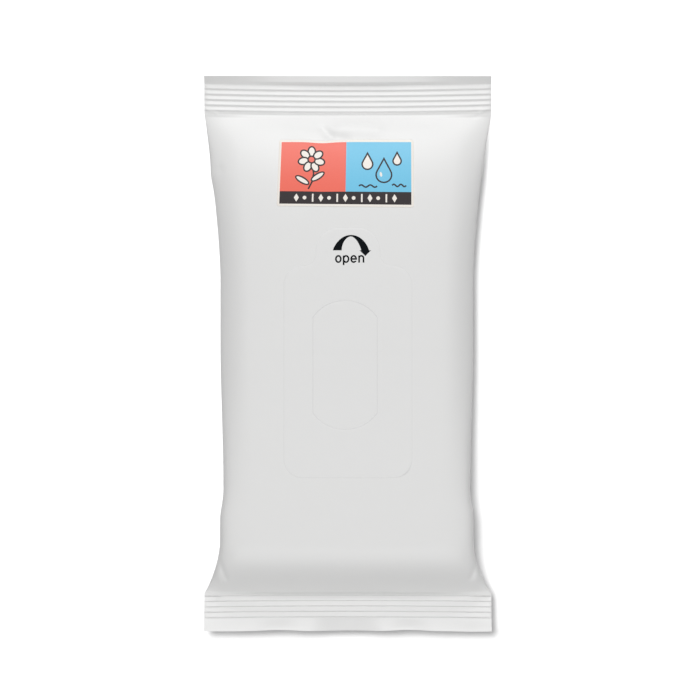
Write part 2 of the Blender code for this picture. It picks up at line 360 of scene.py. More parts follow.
# The floor's lamp stands nearly overhead, to the upper left, for a narrow shadow to the lower right
FLOOR_LAMP = ("floor_lamp", 135, 13.5, 0.90, 0.28, 0.28, 36.0)

# A spot keeps the shadow off the floor beside the top seal: name, place, aim, reach there, power
FLOOR_SPOT = ("floor_spot", (0.060, 0.085, 0.250), (0.0385, 0.0700, 0.0), 0.023, 4.0)
SPOT_SOFTNESS = 0.01

# Softboxes: name, azimuth from +X, tilt from straight above, distance, width, height, radiance
LAMPS = [
    ("top_softbox", 90, 44, 0.80, 0.50, 0.20, 8.2),
    ("low_softbox", 90, 68, 0.80, 0.50, 0.20, 4.7),
    ("bottom_fill", 270, 40, 0.80, 0.70, 0.60, 2.37),
]


def eased(distance, run, power):
    """Rises from 0 to 1 over run, quickly at first and level at its end."""
    return 1 - (1 - np.clip(distance / run, 0, 1)) ** power


def smooth(share):
    """Rises from 0 to 1 with a level start and end."""
    share = np.clip(share, 0, 1)
    return share * share * (3 - 2 * share)


def mixed(start, end, share):
    """The value that lies at share of the way from start to end."""
    return start + (end - start) * share


def bump(distance, width):
    """A soft bell of height 1."""
    return np.exp(-((distance / width) ** 2))


def waves(x, y, length, seed):
    """Gentle seeded unevenness between about -1 and 1, with waves near the given length."""
    source = np.random.default_rng(seed)
    least, most = (0, 0, WAVE_STRETCH[0]), (math.pi, 2 * math.pi, WAVE_STRETCH[1])
    total = 0
    for angle, phase, stretch in source.uniform(least, most, (WAVE_COUNT, 3)):
        along = x * math.cos(angle) + y * math.sin(angle)
        total = total + np.sin(2 * math.pi * along / (length * stretch) + phase)
    return total / WAVE_COUNT * WAVE_STRENGTH


def filled(y):
    """How full the pack is at y: 0 at the seals and 1 over the contents."""
    from_top = eased(TOP_EDGE - y, TOP_SLOPE, TOP_FALL)
    from_bottom = eased(y - BOTTOM_EDGE, BOTTOM_SLOPE, BOTTOM_FALL)
    return np.minimum(from_top, from_bottom)


def half_width(y):
    """The sides taper in from both seals, and once more at the waist."""
    from_top = eased(TOP_EDGE - y, TOP_SLOPE, TOP_TAPER)
    from_bottom = eased(y - BOTTOM_EDGE, BOTTOM_SLOPE, BOTTOM_TAPER)
    past_waist = y - (BOTTOM_EDGE + WAIST_RISE)
    run = np.where(past_waist > 0, WAIST_ABOVE, WAIST_BELOW)
    waist = WAIST_DRAW * smooth(1 - abs(past_waist) / run)
    return mixed(PACK_WIDTH, BODY_WIDTH, np.minimum(from_top, from_bottom)) / 2 - waist


def middle(y):
    """The body sits a little to the left of the seals' middle."""
    return BODY_SHIFT * smooth(filled(y))


def side_reach(share, y):
    """Distance from the middle out to the side that share points to."""
    bulge = LEFT_BULGE * bump(y - LEFT_BULGE_Y, LEFT_BULGE_RUN)
    return half_width(y) + np.where(share < 0, bulge, 0)


def side_share(x, y):
    """Where x lies across the pack: -1 at its left side and 1 at its right side."""
    across = x - middle(y)
    return np.clip(across / side_reach(across, y), -1, 1)


def plain_band(y):
    """Width of the band without ribs at that end."""
    return np.where(y > 0, TOP_PLAIN_BAND, BOTTOM_PLAIN_BAND)


def rib_count(y):
    """Whole ribs that fit in the seal at that end."""
    return np.floor((SEAL_DEPTH - plain_band(y)) / RIB_PITCH)


def rib_margin(y):
    """The flat strip between a seal's inner edge and its first rib."""
    return SEAL_DEPTH - plain_band(y) - rib_count(y) * RIB_PITCH


def band_curl(share, y):
    """The plain band outside the ribs curls up to the pack's end. In the middle of the top it steps up
    at once instead, and at the bottom the fin seal's end leaves it flatter."""
    run = plain_band(y) - CURL_START
    out = np.clip((abs(y) - PACK_LENGTH / 2 + run) / run, 0, 1)
    beside_step = smooth((abs(share) - TOP_STEP_REACH) / TOP_STEP_BLUR)
    top = mixed(TOP_STEP * smooth(out / TOP_STEP_RUN), TOP_CURL * out, beside_step)
    over_fin = smooth((abs(share - FIN_MARK_SHARE) - FIN_MARK_REACH) / FIN_MARK_BLUR)
    return np.where(y > 0, top, BOTTOM_CURL * out * mixed(FIN_MARK_CURL, 1, over_fin))


def saw(ribs, turns, heights):
    """Ribs with straight flanks and rounded crests and grooves, from the places within a rib where the
    flanks meet and the heights there."""
    rounded = [np.interp((ribs + shift) % 1, turns, heights) for shift in RIB_ROUNDING]
    return sum(rounded) / len(rounded)


def rib_wave(ribs, y):
    """The flanks that face the pack's top end are the wide ones, at both ends of the pack. The bottom's
    grooves have a narrow floor beside their steep wall."""
    top = saw(ribs, (0, TOP_RIB_TURN, 1), (0, 1, 0)) - saw(0, (0, TOP_RIB_TURN, 1), (0, 1, 0))
    turns = (0, BOTTOM_RIB_TURN, 1 - BOTTOM_RIB_TURN, 1)
    return np.where(y > 0, top, saw(ribs, turns, BOTTOM_RIB_LEVELS))


def rib_height(share, y, ribs):
    """The ribs are lower at the very sides, and the bottom's first groove is deeper near them."""
    fade = np.clip((1 - abs(share)) * PACK_WIDTH / 2 / RIB_FADE, 0, 1)
    height = np.where(y > 0, TOP_RIB_HEIGHT, BOTTOM_RIB_HEIGHT) * mixed(RIB_AT_SIDE, 1, fade)
    near_side = smooth((abs(share) - GROOVE_FROM) / GROOVE_RUN)
    in_first = (y < 0) & (ribs < 1 - BOTTOM_RIB_TURN)
    return height * np.where(in_first, 1 + GROOVE_MORE * near_side, 1)


def seam_height(share, y):
    """Height of the middle of the film's thickness: level along the body, ribbed in the seals. The
    bottom's ribs begin with the wall down into their first groove."""
    depth = np.maximum(abs(y) - TOP_EDGE, 0)
    first = np.where(y > 0, 0, -BOTTOM_RIB_TURN)
    ribs = np.clip((depth - rib_margin(y)) / RIB_PITCH, first, rib_count(y))
    lift = np.where(y > 0, TOP_SEAL_LIFT, BOTTOM_SEAL_LIFT) * depth / SEAL_DEPTH
    return SEAM_HEIGHT + lift + rib_height(share, y, ribs) * rib_wave(ribs, y) + band_curl(share, y)


def curve_share(share, y, full):
    """Share of the section's full height that is left there."""
    power = mixed(SLOPE_SQUARENESS, full, filled(y))
    power = mixed(SEAL_SQUARENESS, power, smooth(filled(y) / SEAL_BLEND))
    return np.maximum(1 - abs(share) ** power, 0) ** (1 / power)


def front_rise(y):
    """Height of the front's crown above the seam."""
    belly = smooth((BOTTOM_EDGE + BOTTOM_SLOPE + BELLY_RUN - y) / BELLY_RUN)
    crown = mixed(BODY_HEIGHT, BELLY_HEIGHT, belly) - SEAM_HEIGHT
    return mixed(SEAL_THICKNESS / 2, crown, filled(y))


def from_line(x, y, start, end):
    """Distance from the straight line between two points."""
    run_x, run_y = end[0] - start[0], end[1] - start[1]
    along = ((x - start[0]) * run_x + (y - start[1]) * run_y) / (run_x**2 + run_y**2)
    along = np.clip(along, 0, 1)
    return np.hypot(x - start[0] - along * run_x, y - start[1] - along * run_y)


def front_relief(x, y):
    """Small unevenness of the front, on top of its main form."""
    relief = RIPPLE_HEIGHT * waves(x, y, RIPPLE_LENGTH, RIPPLE_SEED) * filled(y)
    for start, end, width, height in FOLDS:
        relief = relief + height * bump(from_line(x, y, start, end), width)
    return relief


def shoulder(share, y, fullness):
    """Share of the height that is left beside the sides, where the film slopes down more and more."""
    slope = np.clip(1 - (1 - abs(share)) * half_width(y) / SHOULDER_RUN, 0, 1) ** 2
    return 1 - SHOULDER_DROP * slope * (1 - fullness) * filled(y)


def front_height(x, y):
    """The filled form and its unevenness, on top of the seam and never below it."""
    share = side_share(x, y)
    fullness = smooth((FULL_FROM - y) / FULL_RUN)
    squareness = mixed(FRONT_SQUARENESS, FULL_SQUARENESS, fullness)
    rise = front_rise(y) * curve_share(share, y, squareness) * shoulder(share, y, fullness)
    front = seam_height(share, y) + rise + front_relief(x, y) * (1 - share**RELIEF_FADE)
    least = seam_height(share, y) + np.minimum(rise, LEAST_GAP)
    return np.maximum(front, least)


def back_height(x, y):
    """The back is pressed flat on the table, and lifted a little where the fin seal lies under it."""
    share = side_share(x, y)
    drop = mixed(SEAL_THICKNESS / 2, SEAM_HEIGHT + REST_SINK, filled(y))
    film = np.maximum(seam_height(share, y) - drop * curve_share(share, y, BACK_SQUARENESS), 0)
    beside_fin = np.maximum(abs(x - FIN_OFFSET) - FIN_WIDTH / 2, 0)
    return film + FIN_THICKNESS * filled(y) * np.clip(1 - beside_fin / FIN_VALLEY, 0, 1)


def bow(share, y):
    """How far along Y the lines of a seal sag towards the body."""
    to_end = PACK_LENGTH / 2 - abs(y)
    fade = np.minimum(to_end / plain_band(y), 1) * smooth(1 - (to_end - SEAL_DEPTH) / BOW_RUN)
    return np.where(y > 0, -TOP_BOW, BOTTOM_BOW) * (1 - share**2) * fade


def edge_wave(x, y):
    """How far towards the body the bottom's wavy edge lies. It fades out at the ribs."""
    wave = sum(reach * bump(x - place, width) for place, width, reach in EDGE_WAVES)
    return wave * smooth(1 - (y + PACK_LENGTH / 2) / BOTTOM_PLAIN_BAND)


def film_stations():
    """Places along the pack, close together in the seals and wider over the body."""
    seal_steps = round(SEAL_DEPTH / RIB_PITCH * STEPS_PER_RIB)
    low, high = BOTTOM_EDGE + NEAR_SEAL, TOP_EDGE - NEAR_SEAL
    runs = [
        np.linspace(-PACK_LENGTH / 2, BOTTOM_EDGE, seal_steps, endpoint=False),
        np.linspace(BOTTOM_EDGE, low, NEAR_STEPS, endpoint=False),
        np.linspace(low, high, BODY_STEPS, endpoint=False),
        np.linspace(high, TOP_EDGE, NEAR_STEPS, endpoint=False),
        np.linspace(TOP_EDGE, PACK_LENGTH / 2, seal_steps + 1),
    ]
    return np.concatenate(runs)


def new_piece(name, points, faces, materials, sharp):
    """A mesh object, smooth except at edges that turn by more than sharp degrees."""
    mesh = bpy.data.meshes.new(name)
    mesh.from_pydata(np.asarray(points).tolist(), [], faces)
    mesh.shade_smooth()
    mesh.set_sharp_from_angle(angle=math.radians(sharp))
    for material in materials:
        mesh.materials.append(material)
    piece = bpy.data.objects.new(name, mesh)
    bpy.context.scene.collection.objects.link(piece)
    return piece


def tube(name, front, back, material, pointed):
    """A closed tube from two grids of points, over the front and underneath, each from left to right.
    Where it is pointed, both grids have the same points at the sides. The front has a whole number of
    columns for each of the back's, and each end is closed by a strip between the two."""
    under = back[:, -2:0:-1] if pointed else back[:, ::-1]
    rings = np.concatenate([front, under], axis=1)
    rows, around = rings.shape[:2]
    ring = np.arange(rows * around).reshape(rows, around)
    turned = np.roll(ring, -1, axis=1)
    faces = np.stack([ring[:-1], turned[:-1], turned[1:], ring[1:]], axis=-1).reshape(-1, 4).tolist()
    across = front.shape[1]
    each = (across - 1) // (back.shape[1] - 1)
    for row, step in ((0, 1), (rows - 1, -1)):
        top, below = ring[row, :across], ring[row, across:][::-1]
        if pointed:
            below = np.concatenate([top[:1], below, top[-1:]])
        for j in range(len(below) - 1):
            corners = [below[j], below[j + 1], *top[each * j : each * (j + 1) + 1][::-1]][::step]
            faces.append([int(corner) for corner in dict.fromkeys(corners)])
    return new_piece(name, rings.reshape(-1, 3), faces, [material], TUBE_SHARP)


def build_film(material):
    """The tube of film, with its columns closest together at the sides."""
    share = np.sin(np.linspace(-math.pi / 2, math.pi / 2, 2 * SIDE_COLUMNS + 1))[None, :]
    y = film_stations()[:, None]
    x = middle(y) + share * side_reach(share, y)
    wave = edge_wave(x, y)
    along = y + bow(share, y) + wave
    front = np.stack([x, along, front_height(x, y) + EDGE_WAVE_LIFT * wave], axis=-1)
    back = np.stack([x, along, back_height(x, y) + EDGE_WAVE_LIFT * wave], axis=-1)
    return tube("film", front, back[:, ::BACK_SHARE], material, pointed=True)


def build_fin(material):
    """The flat fin seal, a thin strip along the back with pressed lines down its length."""
    across = np.linspace(-1, 1, FIN_STEPS_PER_LINE * FIN_LINES + 1)[None, :]
    y = film_stations()[:, None]
    x, y = np.broadcast_arrays(FIN_OFFSET + across * FIN_WIDTH / 2, y)
    lines = FIN_LINE_DEPTH * np.cos(math.pi * across * FIN_LINES) ** 2
    top = back_height(x, y)
    bottom = np.maximum(top - FIN_THICKNESS + lines * (1 - across**FIN_LINE_FADE), 0)
    front = np.stack([x, y, top], axis=-1)
    back = np.stack([x, y, bottom], axis=-1)
    return tube("fin_seal", front, back, material, pointed=False)


def arc(centre_x, centre_y, radius, start, end, steps=ARC_STEPS):
    """Points of an arc between two angles in degrees."""
    angles = [math.radians(mixed(start, end, step / steps)) for step in range(steps + 1)]
    return [(centre_x + radius * math.cos(a), centre_y + radius * math.sin(a)) for a in angles]


def ellipse(centre, reach_x, reach_y, turn=0, steps=3 * ARC_STEPS):
    """Points round an ellipse that is turned by an angle in degrees."""
    angles = [2 * math.pi * step / steps for step in range(steps)]
    flat = [(reach_x * math.cos(a), reach_y * math.sin(a)) for a in angles]
    cos, sin = math.cos(math.radians(turn)), math.sin(math.radians(turn))
    return [(centre[0] + x * cos - y * sin, centre[1] + x * sin + y * cos) for x, y in flat]


def rectangle(left, bottom, right, top):
    """Its corners, from the lower left one round to the right."""
    return [(left, bottom), (right, bottom), (right, top), (left, top)]


def rounded_rectangle(left, bottom, right, top, radius):
    """Its outline, from the lower right corner's arc round to the lower left one's."""
    return (
        arc(right - radius, bottom + radius, radius, -90, 0)
        + arc(right - radius, top - radius, radius, 0, 90)
        + arc(left + radius, top - radius, radius, 90, 180)
        + arc(left + radius, bottom + radius, radius, 180, 270)
    )


def stroke(line, width):
    """The outline of a stroke of even width along a line of points."""
    points = np.array(line)
    run = np.gradient(points, axis=0)
    normal = np.stack([-run[:, 1], run[:, 0]], axis=1) / np.linalg.norm(run, axis=1)[:, None]
    left, right = points + normal * width / 2, points - normal * width / 2
    return [tuple(point) for point in np.concatenate([right, left[::-1]])]


def mirrored(right_half):
    """An outline from its right half, which runs from the bottom to the top."""
    return right_half + [(-x, y) for x, y in reversed(right_half)]


def label_outline(inset):
    """The label with its pull tab at the top, drawn in all round by inset."""
    side, bottom = label_high.x - inset, label_low.y + inset
    label_top = label_low.y + LABEL_LENGTH - inset
    tab_side, tab_top = TAB_WIDTH / 2 - inset, label_high.y - inset
    corner, fillet = LABEL_CORNER - inset, TAB_FILLET + inset
    tip = min(TAB_CORNER, label_high.y - label_low.y - LABEL_LENGTH - TAB_FILLET) - inset
    right = arc(side - corner, bottom + corner, corner, -90, 0)
    right += arc(side - corner, label_top - corner, corner, 0, 90)
    right += arc(tab_side + fillet, label_top + fillet, fillet, 270, 180)
    right += arc(tab_side - tip, tab_top - tip, tip, 0, 90)
    return mirrored(right)


def panel_outline(margin):
    """Straight sides closed by shallow arches, grown all round by margin."""
    centre = (panel_low.x + panel_high.x) / 2
    side = (panel_high.x - panel_low.x) / 2 + margin
    radius = (side**2 + PANEL_ARCH**2) / (2 * PANEL_ARCH)
    reach = math.degrees(2 * math.atan(PANEL_ARCH / side))
    low = panel_low.y - margin + radius
    high = panel_high.y + margin - radius
    bottom_arch = arc(centre, low, radius, -90 - reach, reach - 90)
    return bottom_arch + arc(centre, high, radius, 90 - reach, 90 + reach)


def densified(outline, step):
    """The closed outline with points no further apart than step."""
    points = np.array(outline)
    result = []
    for start, end in zip(points, np.roll(points, -1, axis=0)):
        parts = max(1, math.ceil(np.linalg.norm(end - start) / step))
        result += [tuple(mixed(start, end, part / parts)) for part in range(parts)]
    return result


def distance_to(points, outline):
    """Distance of each point from the closed outline."""
    start = np.array(outline)[None]
    run = np.roll(start, -1, axis=1) - start
    offset = points[:, None] - start
    along = np.clip((offset * run).sum(-1) / np.maximum((run * run).sum(-1), LEAST_SQUARE), 0, 1)
    return np.linalg.norm(offset - along[..., None] * run, axis=-1).min(axis=1)


def inside(points, outline):
    """1 for each point inside the closed outline, and -1 for each outside."""
    x, y = points[:, :1], points[:, 1:]
    start = np.array(outline)[None]
    end = np.roll(start, -1, axis=1)
    crosses = (start[..., 1] > y) != (end[..., 1] > y)
    rise = np.where(crosses, end[..., 1] - start[..., 1], 1)
    place = start[..., 0] + (y - start[..., 1]) * (end[..., 0] - start[..., 0]) / rise
    return np.where((crosses & (place > x)).sum(axis=1) % 2 == 1, 1, -1)


def counter_clockwise(outline):
    """The outline, turned round if it runs clockwise."""
    points = np.array(outline)
    following = np.roll(points, -1, axis=0)
    area = (points[:, 0] * following[:, 1] - following[:, 0] * points[:, 1]).sum()
    return outline if area > 0 else outline[::-1]


def flat_sheet(painted, guides=()):
    """Triangles over the first outline, and each one's paint. painted lists outlines with the number of
    their paint, and later ones lie over earlier ones. guides are more lines that the mesh follows."""
    points, loops, paints = [], [], []
    for outline, paint in painted:
        dense = counter_clockwise(densified(outline, SHEET_CELL))
        loops.append(list(range(len(points), len(points) + len(dense))))
        points += dense
        paints.append(paint)
    for outline in guides:
        points += densified(outline, SHEET_CELL / 2)
    low, high = np.min(points, axis=0), np.max(points, axis=0)
    cells = np.ceil((high - low) / SHEET_CELL).astype(int)
    for column in range(1, cells[0]):
        for row in range(1, cells[1]):
            points.append(tuple(low + (high - low) * (column, row) / cells))
    coords = [Vector(point) for point in points]
    whole_hull = 0
    found = delaunay_2d_cdt(coords, [], loops, whole_hull, SAME_PLACE, True)
    places, triangles, sources = found[0], found[2], found[5]
    kept = [(tri, max(source)) for tri, source in zip(triangles, sources) if 0 in source]
    used = sorted({corner for tri, source in kept for corner in tri})
    renumbered = {old: new for new, old in enumerate(used)}
    corners = [[renumbered[corner] for corner in tri] for tri, source in kept]
    flat = np.array([places[old][:] for old in used])
    return flat, corners, [paints[source] for tri, source in kept]


def laid_sheet(name, flat, triangles, paints, lift, thickness, materials):
    """A closed thin sheet that lies on the film, with its upper side lift above it."""
    x, y = flat[:, 0], flat[:, 1]
    upper = np.stack([x, y, front_height(x, y) + lift], axis=-1)
    points = np.concatenate([upper, upper - (0, 0, thickness)])
    count = len(upper)
    around = {(tri[j], tri[(j + 1) % 3]) for tri in triangles for j in range(3)}
    rim = [(start, end) for start, end in around if (end, start) not in around]
    under = [[corner + count for corner in reversed(tri)] for tri in triangles]
    walls = [[end, start, start + count, end + count] for start, end in sorted(rim)]
    piece = new_piece(name, points, triangles + under + walls, materials, SHEET_SHARP)
    piece.data.polygons.foreach_set("material_index", paints + paints + [0] * len(walls))
    return piece


def build_label(materials):
    """The label lies on the film with the print painted on it, and thin grey rings of painted shade run
    along its edge and the die-cut line. It is pressed down along the die-cut line, and its lower right
    corner is loose."""
    # Grey rings of painted shade along the label's edge and along the die-cut line, under the print
    painted = [(label_outline(0), SHADE_LINE), (label_outline(EDGE_SHADE_WIDTH), 0)]
    painted += [(panel_outline(SHADE_LINE_WIDTH / 2), SHADE_LINE), (panel_outline(-SHADE_LINE_WIDTH / 2), 0)]
    painted += [(arrow_outline(), INK)] + word_outlines()
    guides = [label_outline(LABEL_BEVEL)] + [panel_outline(CUT_WIDTH * share) for share in CUT_GUIDES]
    flat, triangles, paints = flat_sheet(painted, guides)
    from_edge = distance_to(flat, label_outline(0))
    from_cut = distance_to(flat, panel_outline(0))
    lift = mixed(LABEL_EDGE_LIFT, LABEL_LIFT, np.clip(from_edge / LABEL_BEVEL, 0, 1))
    within = from_cut * inside(flat, panel_outline(0))
    lift -= CUT_DEPTH * bump(from_cut, CUT_WIDTH) + PANEL_DROP * smooth(0.5 + within / (2 * CUT_WIDTH))
    loose_corner = np.hypot(flat[:, 0] - label_high.x, flat[:, 1] - label_low.y)
    lift += LABEL_CORNER_LIFT * bump(loose_corner, LABEL_CORNER_RUN)
    return laid_sheet("label", flat, triangles, paints, lift, LABEL_FILM, materials)


def build_panel(film):
    """The die-cut panel, hidden between the label and the film."""
    flat, triangles, paints = flat_sheet([(panel_outline(0), 0)])
    return laid_sheet("die_cut_panel", flat, triangles, paints, PANEL_LIFT, PANEL_FILM, [film])


def arch(left, right, apex, left_powers, right_powers, steps=2 * ARC_STEPS):
    """Points over an arch from its left foot to its right foot. A half with both powers 2 is an
    ellipse's. A lower second power draws its foot out straighter."""
    points = []
    for foot, powers, angles in (
        (left, left_powers, np.linspace(0, math.pi / 2, steps, endpoint=False)),
        (right, right_powers, np.linspace(math.pi / 2, 0, steps)),
    ):
        out = np.maximum(np.cos(angles), 0) ** (2 / powers[0])
        up = np.sin(angles) ** (2 / powers[1])
        points += zip(mixed(apex[0], foot, out), mixed(ARROW_BASE_Y, apex[1], up))
    return points


def arrow_outline():
    """The bent arrow, along its outer curve, round its head and back along its inner curve."""
    outline = arch(*ARROW_OUTER) + list(ARROW_HEAD) + arch(*ARROW_INNER)[::-1]
    return [(x, y + ARROW_SHIFT) for x, y in outline]


def half_ellipse(left, right, base_y, apex_y, steps=2 * ARC_STEPS):
    """Points over the top half of an ellipse, from its left foot to its right foot."""
    centre, reach = (left + right) / 2, (right - left) / 2
    angles = [math.pi * (1 - step / steps) for step in range(steps + 1)]
    return [(centre + reach * math.cos(a), base_y + (apex_y - base_y) * math.sin(a)) for a in angles]


def bowl(x):
    """A letter's bowl, as an inked ellipse with a clear one over it."""
    reach_x, reach_y = BOWL_REACH
    return [
        (ellipse((x, BOWL_Y), reach_x, reach_y), INK),
        (ellipse((x, BOWL_Y), reach_x - LETTER_STROKE, reach_y - LETTER_STROKE), 0),
    ]


def bar(left, bottom, right, top):
    """A straight stroke of a letter."""
    return (rectangle(left, bottom, right, top), INK)


def word_outlines():
    """The letters of open, stroke by stroke."""
    half = LETTER_STROKE / 2
    reach_x, reach_y = BOWL_REACH
    letter_o = bowl(O_X)
    letter_p = bowl(P_BOWL_X) + [bar(P_STEM_X - half, DESCENDER_Y, P_STEM_X + half, X_HEIGHT_Y)]
    gap_left, gap_low = E_X + E_GAP_LEFT * reach_x, BOWL_Y - E_GAP_DROP * reach_y
    letter_e = bowl(E_X) + [
        (rectangle(gap_left, gap_low, E_X + reach_x, BOWL_Y - half), 0),
        bar(E_X - reach_x + half, BOWL_Y - half, E_X + reach_x, BOWL_Y + half),
    ]
    arch_foot, arch_top = BOWL_Y + N_ARCH_FOOT * reach_y, BOWL_Y + reach_y - half
    letter_n = [
        (stroke(half_ellipse(N_STEM_X, N_RIGHT_X, arch_foot, arch_top), LETTER_STROKE), INK),
        bar(N_STEM_X - half, BASE_LINE_Y, N_STEM_X + half, X_HEIGHT_Y),
        bar(N_RIGHT_X - half, BASE_LINE_Y, N_RIGHT_X + half, BOWL_Y + N_RIGHT_TOP * reach_y),
    ]
    return letter_o + letter_p + letter_e + letter_n


def outlined(outline_of, fill):
    """A shape with an inked edge: outline_of gives its outline for a margin."""
    return [(outline_of(LINE / 2), DARK), (outline_of(-LINE / 2), fill)]


def oval(centre, reach, turn=0):
    """An ellipse, for a margin."""
    return lambda margin: ellipse(centre, reach[0] + margin, reach[1] + margin, turn)


def drop(centre, radius):
    """A drop with its tip up, for a margin."""
    def outline(margin):
        reach = radius + margin
        return arc(*centre, reach, *DROP_ARC) + [(centre[0], centre[1] + DROP_TIP * reach)]
    return outline


def flower():
    """An outlined flower on a stem with two leaves."""
    eye_x, eye_y = FLOWER
    bends = [(eye_x + to_x, eye_y + to_y) for to_x, to_y in STEM_BENDS]
    shapes = [(stroke([FLOWER, *bends, STEM_FOOT], LINE), DARK)]
    for centre, turn in LEAVES:
        shapes += outlined(oval(centre, LEAF_REACH, turn), PAPER)
    for petal in range(PETALS):
        turn = 360 * petal / PETALS + 90
        along = math.radians(turn)
        centre = (eye_x + PETAL_PLACE * math.cos(along), eye_y + PETAL_PLACE * math.sin(along))
        shapes += outlined(oval(centre, PETAL_REACH, turn), PAPER)
    return shapes + outlined(oval(FLOWER, FLOWER_EYE), CORAL)


def water():
    """Outlined drops over wavy lines, with a gleam on the second drop."""
    shapes = []
    for left, right, level in WATER_LINES:
        steps = np.linspace(0, 1, WATER_STEPS + 1)
        wave = WATER_SWING * np.sin(steps * 2 * WATER_WAVES * math.pi)
        shapes.append((stroke(list(zip(mixed(left, right, steps), level + wave)), LINE), DARK))
    for centre, radius, fill in DROPS:
        shapes += outlined(drop(centre, radius), fill)
    drop_x, drop_y = DROPS[1][0]
    gleam = (drop_x + GLEAM_PLACE[0], drop_y + GLEAM_PLACE[1])
    return shapes + [(ellipse(gleam, *GLEAM_REACH, GLEAM_TURN), PAPER)]


def row(middle_y):
    """A row of small diamonds, dots and bars."""
    half = ROW_HEIGHT / 2
    low, high = middle_y - half, middle_y + half
    shapes = []
    for place in range(ROW_COUNT):
        x = mixed(-ROW_REACH, ROW_REACH, place / (ROW_COUNT - 1))
        left, right = x - DIAMOND_WIDTH * half, x + DIAMOND_WIDTH * half
        diamond = [(left, middle_y), (x, low), (right, middle_y), (x, high)]
        dot = ellipse((x, middle_y), DOT_SIZE * half, DOT_SIZE * half)
        upright = rectangle(x - LINE / 2, low, x + LINE / 2, high)
        shapes.append(((diamond, dot, upright)[place % 3], PAPER))
    return shapes


def build_sticker(materials):
    """Printed fields of colour with a flower and drops of water, over a dark strip with a row of shapes."""
    side, top = STICKER_WIDTH / 2, STICKER_HEIGHT / 2
    inner, inner_top, strip = side - STICKER_BORDER, top - STICKER_BORDER, STICKER_STRIP
    strip_top = strip - inner_top
    painted = [
        (rounded_rectangle(-side, -top, side, top, STICKER_CORNER), PAPER),
        (rectangle(-inner, strip_top, 0, inner_top), CORAL),
        (rectangle(0, strip_top, inner, inner_top), BLUE),
        (rectangle(-inner, -inner_top, inner, strip_top), DARK),
    ]
    painted += flower() + water() + row(strip / 2 - inner_top)
    bevel = rounded_rectangle(
        STICKER_BEVEL - side, STICKER_BEVEL - top, side - STICKER_BEVEL, top - STICKER_BEVEL, STICKER_CORNER
    )
    flat, triangles, paints = flat_sheet(painted, [bevel])
    from_edge = distance_to(flat, painted[0][0])
    lift = mixed(STICKER_EDGE_LIFT, STICKER_LIFT, np.clip(from_edge / STICKER_BEVEL, 0, 1))
    centre = (sticker_low + sticker_high) / 2
    to_left, to_top = (1 - flat[:, 0] / side) / 2, (1 + flat[:, 1] / top) / 2
    x = centre.x + flat[:, 0] + STICKER_LEAN * to_left * (to_top - 0.5)
    sag = STICKER_SAG * bump(x - STICKER_SAG_X, STICKER_SAG_RUN) * to_top
    y = centre.y + flat[:, 1] + STICKER_RISE * to_left * (1 - to_top) - sag
    return laid_sheet("sticker", np.stack([x, y], axis=1), triangles, paints, lift, STICKER_PAPER, materials)


def plain_material(name, colour, roughness, change, specular):
    """A surface whose colour, roughness and height vary a little over a few millimetres."""
    material = bpy.data.materials.new(name)
    material.use_nodes = True
    nodes, links = material.node_tree.nodes, material.node_tree.links
    shader = nodes["Principled BSDF"]
    shader.inputs["Specular IOR Level"].default_value = specular
    where = nodes.new("ShaderNodeTexCoord")
    noise = nodes.new("ShaderNodeTexNoise")
    noise.inputs["Scale"].default_value = CHANGE_SCALE
    noise.inputs["Detail"].default_value = CHANGE_DETAIL
    links.new(where.outputs["Object"], noise.inputs["Vector"])
    ramp = nodes.new("ShaderNodeValToRGB")
    for element, place, factor in zip(ramp.color_ramp.elements, CHANGE_RANGE, (1 - change, 1 + change)):
        element.position = place
        element.color = (*[value * factor for value in colour], 1)
    links.new(noise.outputs["Fac"], ramp.inputs["Fac"])
    links.new(ramp.outputs["Color"], shader.inputs["Base Color"])
    spread = nodes.new("ShaderNodeMapRange")
    spread.inputs["To Min"].default_value = roughness - ROUGHNESS_CHANGE
    spread.inputs["To Max"].default_value = roughness + ROUGHNESS_CHANGE
    links.new(noise.outputs["Fac"], spread.inputs["Value"])
    links.new(spread.outputs["Result"], shader.inputs["Roughness"])
    grain = nodes.new("ShaderNodeTexNoise")
    grain.inputs["Scale"].default_value = GRAIN_SCALE
    grain.inputs["Detail"].default_value = GRAIN_DETAIL
    links.new(where.outputs["Object"], grain.inputs["Vector"])
    relief = nodes.new("ShaderNodeBump")
    relief.inputs["Distance"].default_value = GRAIN_HEIGHT
    relief.inputs["Strength"].default_value = 1
    links.new(grain.outputs["Fac"], relief.inputs["Height"])
    links.new(relief.outputs["Normal"], shader.inputs["Normal"])
    return material


def seen_directly(nodes, links):
    """1 for the rays that show a background: the camera's, and those reflected or passed on."""
    path = nodes.new("ShaderNodeLightPath")
    total = path.outputs["Is Camera Ray"]
    for name in ("Is Glossy Ray", "Is Transmission Ray"):
        larger = nodes.new("ShaderNodeMath")
        larger.operation = "MAXIMUM"
        links.new(total, larger.inputs[0])
        links.new(path.outputs[name], larger.inputs[1])
        total = larger.outputs["Value"]
    return total


